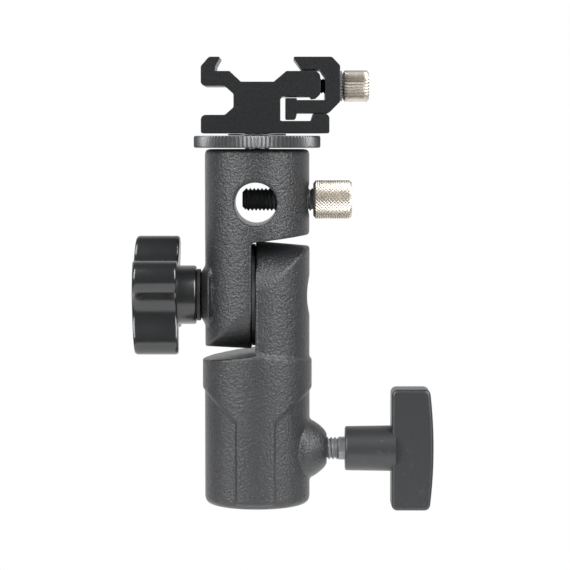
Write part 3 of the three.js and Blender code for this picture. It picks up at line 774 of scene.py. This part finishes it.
def lock_disc():
    """Disc with a straight knurl round its edge, screwed up under the shoe."""
    low, high = span("lock_disc")
    disc = ring(
        "lock_disc_knurled",
        "Z",
        UPRIGHT,
        QUARTER_INCH_R + THREAD_CLEARANCE,
        high.x,
        low.z,
        high.z,
        DISC_EDGE,
        DISC_TEETH * RIM_FACES,
        straight_knurl(high.x, DISC_TEETH, DISC_TOOTH_DEPTH),
    )
    return smoothed(disc, 40)


def shoe_washer():
    """Thin washer between the disc and the shoe."""
    low, high = span("shoe_washer")
    hole_r = QUARTER_INCH_R + THREAD_CLEARANCE
    return smoothed(ring("shoe_thin_washer", "Z", UPRIGHT, hole_r, high.x, low.z, high.z, THIN_WASHER_EDGE))


def shoe_body():
    """The shoe's extruded section: base, pocket for the jaw's hook, foot floor, and left hook."""
    low, high = span("shoe_body")
    outline = [
        (low.x, low.z, 0.5),
        (high.x, low.z, 0.5),
        (high.x, 101, 1.2),
        (14.35, 101, 0.2),
        (13.75, 99.15, 0.2),
        (6, 99.15, 0.4),
        (6, 105.4, 0.7),
        (13.55, 105.4, 0.2),
        (13.95, 104.9, 0.15),
        (15.1, 105, 0.3),
        (16.2, 106, 0.5),
        (16.2, 111.8, 1.6),
        (7.55, 111.8, 0.3),
        (4.35, 109.1, 0.3),
        (-4, 109.1, 0.3),
        (-6.9, 111.8, 0.3),
        (-10.6, 111.8, 0.2),
        (-10.4, 113.2, 0.3),
        (-9.15, high.z, 0.3),
        (-12.1, high.z, 1),
        (low.x, 113, 1),
        (low.x, 108.05, 1.1),
        (-8.2, 108.05, 0.8),
        (-5.9, 106, 0.8),
        (-5.9, 102.6, 0.8),
        (-8.1, 100.7, 0.8),
        (low.x, 100.7, 1.2),
    ]
    body = extruded("shoe_extrusion", rounded(outline, 4), "Y", -SHOE_HALF_DEPTH, SHOE_HALF_DEPTH)
    rimmed(body, RIM, 2, 60)
    stud_top = span("mount_stud")[1].z
    hole_r = QUARTER_INCH_R + THREAD_CLEARANCE
    stud_hole = rod("stud_hole", "Z", UPRIGHT, hole_r, low.z - 1, stud_top + SEAT_GAP)
    combined(body, stud_hole, "DIFFERENCE")
    screw_low = span("jaw_screw")[0].x
    screw_hole = rod("screw_hole", "X", JAW_LINE, M4_R + THREAD_CLEARANCE, screw_low - 1, 17)
    combined(body, screw_hole, "DIFFERENCE")
    return flat_faced(body)


def shoe_jaw():
    """The jaw's extruded section: a dovetail over the foot, a wall, and a hook in the shoe's pocket."""
    low, high = span("shoe_jaw")
    outline = [
        (low.x, low.z, 0.4),
        (9.9, low.z, 0.6),
        (10.25, 101.15, 0.2),
        (18.35, 101.15, 0.9),
        (high.x, 104, 0.9),
        (high.x, 113.2, 0.9),
        (19.1, high.z, 0.9),
        (9.05, high.z, 0.35),
        (11.4, 112.2, 0.3),
        (16.2, 112.2, 0.3),
        (17.45, 110.3, 0.3),
        (17.45, 104.45, 0.2),
        (10.25, 104.45, 0.1),
        (10.15, 104.95, 0.15),
        (low.x, 104.95, 0.3),
    ]
    jaw = extruded("jaw_extrusion", rounded(outline, 4), "Y", -SHOE_HALF_DEPTH, SHOE_HALF_DEPTH)
    rimmed(jaw, RIM, 2, 60)
    hole = rod("hole", "X", JAW_LINE, M4_R + 2 * THREAD_CLEARANCE, 16.5, high.x + 1)
    return flat_faced(combined(jaw, hole, "DIFFERENCE"))


# ---------- finishes ----------


def linear(hex_colour):
    """An sRGB hex colour as the linear values that Blender takes."""
    colour = []
    for start in (1, 3, 5):
        value = int(hex_colour[start : start + 2], 16) / 255
        colour.append(value / 12.92 if value <= 0.04045 else ((value + 0.055) / 1.055) ** 2.4)
    return colour + [1]


def add(owner, kind, links=None, values=None, **settings):
    """A node in a material or the world, with its settings, its values and what is linked into it."""
    tree = owner.node_tree
    node = tree.nodes.new(kind)
    for key, value in settings.items():
        setattr(node, key, value)
    for key, value in (values or {}).items():
        node.inputs[key].default_value = value
    for key, socket in (links or {}).items():
        tree.links.new(socket, node.inputs[key])
    return node


def per_mm(size):
    """Scale of a pattern whose features are this many millimetres apart."""
    return 1 / (size * MM)


def surface(name, build):
    """A material whose shader node comes from build(material, object coordinates)."""
    material = bpy.data.materials.new(name)
    material.use_nodes = True
    material.node_tree.nodes.clear()
    place = add(material, "ShaderNodeTexCoord").outputs["Object"]
    shader = build(material, place)
    add(material, "ShaderNodeOutputMaterial", {"Surface": shader.outputs[0]})
    return material


def powder_coat(material, place):
    # Charcoal leather-grain powder coat on a die casting: pebbles about half a millimetre wide, a satin
    # sheen that breaks up over them, and broad patches a shade paler.
    pebbles = add(
        material,
        "ShaderNodeTexVoronoi",
        {"Vector": place},
        {"Scale": per_mm(0.62), "Randomness": 1.0},
        feature="SMOOTH_F1",
    ).outputs["Distance"]
    fine = add(
        material,
        "ShaderNodeTexNoise",
        {"Vector": place},
        {"Scale": per_mm(0.3), "Detail": 3, "Roughness": 0.6},
    ).outputs["Fac"]
    broad = add(
        material,
        "ShaderNodeTexNoise",
        {"Vector": place},
        {"Scale": per_mm(6), "Detail": 3},
    ).outputs["Fac"]
    height = add(material, "ShaderNodeMath", {0: pebbles, 1: fine}, operation="ADD").outputs[0]
    bump = add(
        material, "ShaderNodeBump", {"Height": height}, {"Strength": 1.0, "Distance": 0.14 * MM}
    ).outputs[0]
    colour = add(
        material,
        "ShaderNodeMix",
        {0: broad},
        {6: linear("#191a1c"), 7: linear("#222325")},
        data_type="RGBA",
    ).outputs[2]
    gloss = add(
        material, "ShaderNodeMapRange", {"Value": fine}, {"To Min": 0.28, "To Max": 0.42}
    ).outputs[0]
    return add(
        material,
        "ShaderNodeBsdfPrincipled",
        {"Base Color": colour, "Roughness": gloss, "Normal": bump},
        {"Metallic": 0.0, "IOR": 1.52},
    )


def anodised(material, place):
    # Black anodised aluminium, bead-blasted first: near-black with a soft grey sheen and an even grain of
    # pale specks, drawn half a millimetre wide so that it shows.
    grain = add(
        material,
        "ShaderNodeTexNoise",
        {"Vector": place},
        {"Scale": per_mm(0.5), "Detail": 3, "Roughness": 0.7},
    ).outputs["Fac"]
    speck = add(
        material, "ShaderNodeMapRange", {"Value": grain}, {"From Min": 0.35, "From Max": 0.65}
    ).outputs[0]
    colour = add(
        material,
        "ShaderNodeMix",
        {0: speck},
        {6: linear("#08090a"), 7: linear("#1a1b1c")},
        data_type="RGBA",
    ).outputs[2]
    bump = add(
        material, "ShaderNodeBump", {"Height": grain}, {"Strength": 0.5, "Distance": 0.03 * MM}
    ).outputs[0]
    return add(
        material,
        "ShaderNodeBsdfPrincipled",
        {"Base Color": colour, "Normal": bump},
        {"Roughness": 0.36, "Specular IOR Level": 0.4},
    )


def knurled_anodised(material, place):
    # Black anodised disc whose knurl is worn to a dark grey metal, so that its teeth catch the light as
    # bright lines.
    wear = add(
        material,
        "ShaderNodeTexNoise",
        {"Vector": place},
        {"Scale": per_mm(1.0), "Detail": 3},
    ).outputs["Fac"]
    colour = add(
        material,
        "ShaderNodeMix",
        {0: wear},
        {6: linear("#3f4042"), 7: linear("#5e5f61")},
        data_type="RGBA",
    ).outputs[2]
    return add(
        material,
        "ShaderNodeBsdfPrincipled",
        {"Base Color": colour},
        {"Metallic": 0.7, "Roughness": 0.36},
    )


def nickel(material, place):
    # Nickel plate on knurled brass: bright and faintly warm, clouded with a slightly browner tone.
    cloud = add(
        material,
        "ShaderNodeTexNoise",
        {"Vector": place},
        {"Scale": per_mm(2.5), "Detail": 3},
    ).outputs["Fac"]
    colour = add(
        material,
        "ShaderNodeMix",
        {0: cloud},
        {6: linear("#a79f95"), 7: linear("#c8c0b6")},
        data_type="RGBA",
    ).outputs[2]
    gloss = add(
        material, "ShaderNodeMapRange", {"Value": cloud}, {"To Min": 0.36, "To Max": 0.46}
    ).outputs[0]
    return add(
        material,
        "ShaderNodeBsdfPrincipled",
        {"Base Color": colour, "Roughness": gloss},
        {"Metallic": 1.0},
    )


def black_oxide(material, place):
    # Black-oxide steel, worn: a grey skin that is only partly metallic, with soft highlights along the
    # thread.
    wear = add(
        material,
        "ShaderNodeTexNoise",
        {"Vector": place},
        {"Scale": per_mm(0.8), "Detail": 3},
    ).outputs["Fac"]
    colour = add(
        material,
        "ShaderNodeMix",
        {0: wear},
        {6: linear("#6c6d6f"), 7: linear("#858688")},
        data_type="RGBA",
    ).outputs[2]
    gloss = add(
        material, "ShaderNodeMapRange", {"Value": wear}, {"To Min": 0.28, "To Max": 0.42}
    ).outputs[0]
    return add(
        material,
        "ShaderNodeBsdfPrincipled",
        {"Base Color": colour, "Roughness": gloss},
        {"Metallic": 0.35},
    )


def zinc(material, place):
    # Zinc-plated steel: a cool grey metal with cloudy patches.
    cloud = add(
        material,
        "ShaderNodeTexNoise",
        {"Vector": place},
        {"Scale": per_mm(1.5), "Detail": 3},
    ).outputs["Fac"]
    colour = add(
        material,
        "ShaderNodeMix",
        {0: cloud},
        {6: linear("#8f9294"), 7: linear("#b9bcbe")},
        data_type="RGBA",
    ).outputs[2]
    return add(
        material,
        "ShaderNodeBsdfPrincipled",
        {"Base Color": colour},
        {"Metallic": 1.0, "Roughness": 0.32},
    )


def turned_brass(material, place):
    # Turned brass: yellow metal, dulled in patches.
    dull = add(
        material,
        "ShaderNodeTexNoise",
        {"Vector": place},
        {"Scale": per_mm(1.2), "Detail": 3},
    ).outputs["Fac"]
    colour = add(
        material,
        "ShaderNodeMix",
        {0: dull},
        {6: linear("#9a7a3c"), 7: linear("#c3a05a")},
        data_type="RGBA",
    ).outputs[2]
    return add(
        material,
        "ShaderNodeBsdfPrincipled",
        {"Base Color": colour},
        {"Metallic": 1.0, "Roughness": 0.3},
    )


def gloss_plastic(material, place):
    # Glossy black moulded phenolic: deep black with clear highlights and a few finger marks in the gloss.
    marks = add(
        material,
        "ShaderNodeTexNoise",
        {"Vector": place},
        {"Scale": per_mm(5), "Detail": 4, "Roughness": 0.6},
    ).outputs["Fac"]
    fine = add(
        material,
        "ShaderNodeTexNoise",
        {"Vector": place},
        {"Scale": per_mm(0.5), "Detail": 2},
    ).outputs["Fac"]
    gloss = add(
        material, "ShaderNodeMapRange", {"Value": marks}, {"To Min": 0.18, "To Max": 0.32}
    ).outputs[0]
    bump = add(
        material, "ShaderNodeBump", {"Height": fine}, {"Strength": 0.12, "Distance": 0.02 * MM}
    ).outputs[0]
    return add(
        material,
        "ShaderNodeBsdfPrincipled",
        {"Roughness": gloss, "Normal": bump},
        {"Base Color": linear("#151617"), "IOR": 1.55},
    )


def satin_plastic(material, place):
    # Satin dark grey moulded nylon: a fine spark-eroded texture with pale scuffs where it is handled.
    grain = add(
        material,
        "ShaderNodeTexNoise",
        {"Vector": place},
        {"Scale": per_mm(0.3), "Detail": 2, "Roughness": 0.6},
    ).outputs["Fac"]
    scuffs = add(
        material,
        "ShaderNodeTexNoise",
        {"Vector": place},
        {"Scale": per_mm(2.2), "Detail": 5, "Roughness": 0.7, "Distortion": 0.4},
    ).outputs["Fac"]
    rubbed = add(
        material,
        "ShaderNodeMapRange",
        {"Value": scuffs},
        {"From Min": 0.6, "From Max": 0.78, "To Max": 0.4},
    ).outputs[0]
    colour = add(
        material,
        "ShaderNodeMix",
        {0: rubbed},
        {6: linear("#1b1c1e"), 7: linear("#58595b")},
        data_type="RGBA",
    ).outputs[2]
    bump = add(
        material, "ShaderNodeBump", {"Height": grain}, {"Strength": 0.5, "Distance": 0.04 * MM}
    ).outputs[0]
    return add(
        material,
        "ShaderNodeBsdfPrincipled",
        {"Base Color": colour, "Normal": bump},
        {"Roughness": 0.42, "IOR": 1.53},
    )


def matt_nylon(material, place):
    # Black nylon washer: matt, almost without light on it.
    grain = add(
        material,
        "ShaderNodeTexNoise",
        {"Vector": place},
        {"Scale": per_mm(0.4), "Detail": 2},
    ).outputs["Fac"]
    colour = add(
        material,
        "ShaderNodeMix",
        {0: grain},
        {6: linear("#09090a"), 7: linear("#121213")},
        data_type="RGBA",
    ).outputs[2]
    return add(
        material,
        "ShaderNodeBsdfPrincipled",
        {"Base Color": colour},
        {"Roughness": 0.6, "IOR": 1.53},
    )


CASTING_COAT = surface("powder_coated_casting", powder_coat)
ANODISED = surface("black_anodised_aluminium", anodised)
KNURLED_BLACK = surface("worn_black_anodised_knurl", knurled_anodised)
NICKEL = surface("nickel_plated_brass", nickel)
BLACK_OXIDE = surface("black_oxide_steel", black_oxide)
ZINC = surface("zinc_plated_steel", zinc)
BRASS = surface("turned_brass", turned_brass)
GLOSS_BLACK = surface("gloss_black_phenolic", gloss_plastic)
SATIN_GREY = surface("satin_grey_nylon", satin_plastic)
MATT_NYLON = surface("matt_black_nylon", matt_nylon)

# ---------- the assembly ----------

shown(lower_casting(), "stand_end", "lower_casting", CASTING_COAT)
shown(upper_casting(), "tilting_head", "upper_casting", CASTING_COAT)
shown(tilt_knob(), "tilt_lock", "tilt_knob", GLOSS_BLACK)
shown(tilt_bolt(), "tilt_lock", "tilt_bolt", ZINC)
shown(tilt_washer(), "tilt_clamp", "tilt_washer", MATT_NYLON)
shown(stand_screw(), "stand_lock", "stand_screw", BLACK_OXIDE)
shown(pressure_pad(), "stand_clamp", "stand_pressure_pad", BRASS)
shown(stand_knob(), "stand_lock", "stand_knob", SATIN_GREY)
shown(umbrella_screw(), "umbrella_clamp", "umbrella_stud", BLACK_OXIDE)
shown(umbrella_head(), "umbrella_lock", "umbrella_head", NICKEL)
shown(lock_disc(), "pan_lock", "lock_disc", KNURLED_BLACK)
shown(shoe_washer(), "shoe", "shoe_washer", BLACK_OXIDE)
shown(shoe_body(), "shoe", "shoe_body", ANODISED)
shown(shoe_jaw(), "jaw", "shoe_jaw", ANODISED)
shown(jaw_washer(), "jaw", "jaw_washer", BLACK_OXIDE)
shown(jaw_screw(), "jaw_lock", "jaw_screw", BLACK_OXIDE)
shown(jaw_head(), "jaw_lock", "jaw_head", NICKEL)
kept("tilt_nut", ZINC)
kept("tilt_friction_disc", MATT_NYLON)
kept("mount_stud", ZINC)

# ---------- floor and light ----------

FLOOR_Z = -62  # far enough down to stay out of the front view, as the bracket hangs on its stand
FLOOR_R = 200
DIM = 0.21  # light from the dark room in front of the bracket, beside and above it
BRIGHT = 1.0  # light from the white background behind it
SOFTBOX_WIDTH = 400
SOFTBOX_HEIGHT = 900
SOFTBOX_POWER = 17  # W
LIT_PLACE = (0, 0, 55)


def white_paper(material, place):
    # Plain white background paper, matt.
    fibre = add(
        material,
        "ShaderNodeTexNoise",
        {"Vector": place},
        {"Scale": per_mm(1.5), "Detail": 2},
    ).outputs["Fac"]
    colour = add(
        material,
        "ShaderNodeMix",
        {0: fibre},
        {6: linear("#f6f6f5"), 7: linear("#fbfbfa")},
        data_type="RGBA",
    ).outputs[2]
    return add(material, "ShaderNodeBsdfPrincipled", {"Base Color": colour}, {"Roughness": 0.9})


def studio_floor():
    """A round table of white paper under the bracket."""
    bpy.ops.object.select_all(action="DESELECT")
    bpy.ops.mesh.primitive_circle_add(vertices=96, radius=FLOOR_R * MM, fill_type="NGON")
    floor = bpy.context.object
    floor.name = "studio_floor"
    floor.location.z = FLOOR_Z * MM
    floor.data.materials.append(surface("white_paper", white_paper))


def softbox(name, place):
    """A soft panel of light facing the middle of the bracket."""
    bpy.ops.object.light_add(type="AREA", location=[value * MM for value in place])
    lamp = bpy.context.object
    lamp.name = name
    lamp.data.shape = "RECTANGLE"
    lamp.data.size = SOFTBOX_WIDTH * MM
    lamp.data.size_y = SOFTBOX_HEIGHT * MM
    lamp.data.energy = SOFTBOX_POWER
    aim = Vector(LIT_PLACE) - Vector(place)
    lamp.rotation_euler = aim.to_track_quat("-Z", "Y").to_euler()


def studio_world():
    """White to look at; as light, white only from behind the bracket and dim from everywhere else."""
    world = bpy.data.worlds.new("studio_white")
    bpy.context.scene.world = world
    world.use_nodes = True
    world.node_tree.nodes.clear()
    direction = add(world, "ShaderNodeTexCoord").outputs["Generated"]
    backwards = add(world, "ShaderNodeSeparateXYZ", {"Vector": direction}).outputs["Y"]
    light = add(
        world,
        "ShaderNodeMapRange",
        {"Value": backwards},
        {"From Min": 0.35, "From Max": 0.75, "To Min": DIM, "To Max": BRIGHT},
    ).outputs[0]
    seen = add(world, "ShaderNodeLightPath").outputs["Is Camera Ray"]
    strength = add(world, "ShaderNodeMath", {0: light, 1: seen}, operation="MAXIMUM").outputs[0]
    white = add(world, "ShaderNodeBackground", {"Strength": strength}, {"Color": (1, 1, 1, 1)})
    add(world, "ShaderNodeOutputWorld", {"Surface": white.outputs[0]})


studio_floor()
studio_world()
softbox("left_strip", (-640, -520, 470))
softbox("right_strip", (620, -540, 470))
bpy.context.scene.view_settings.view_transform = "Standard"
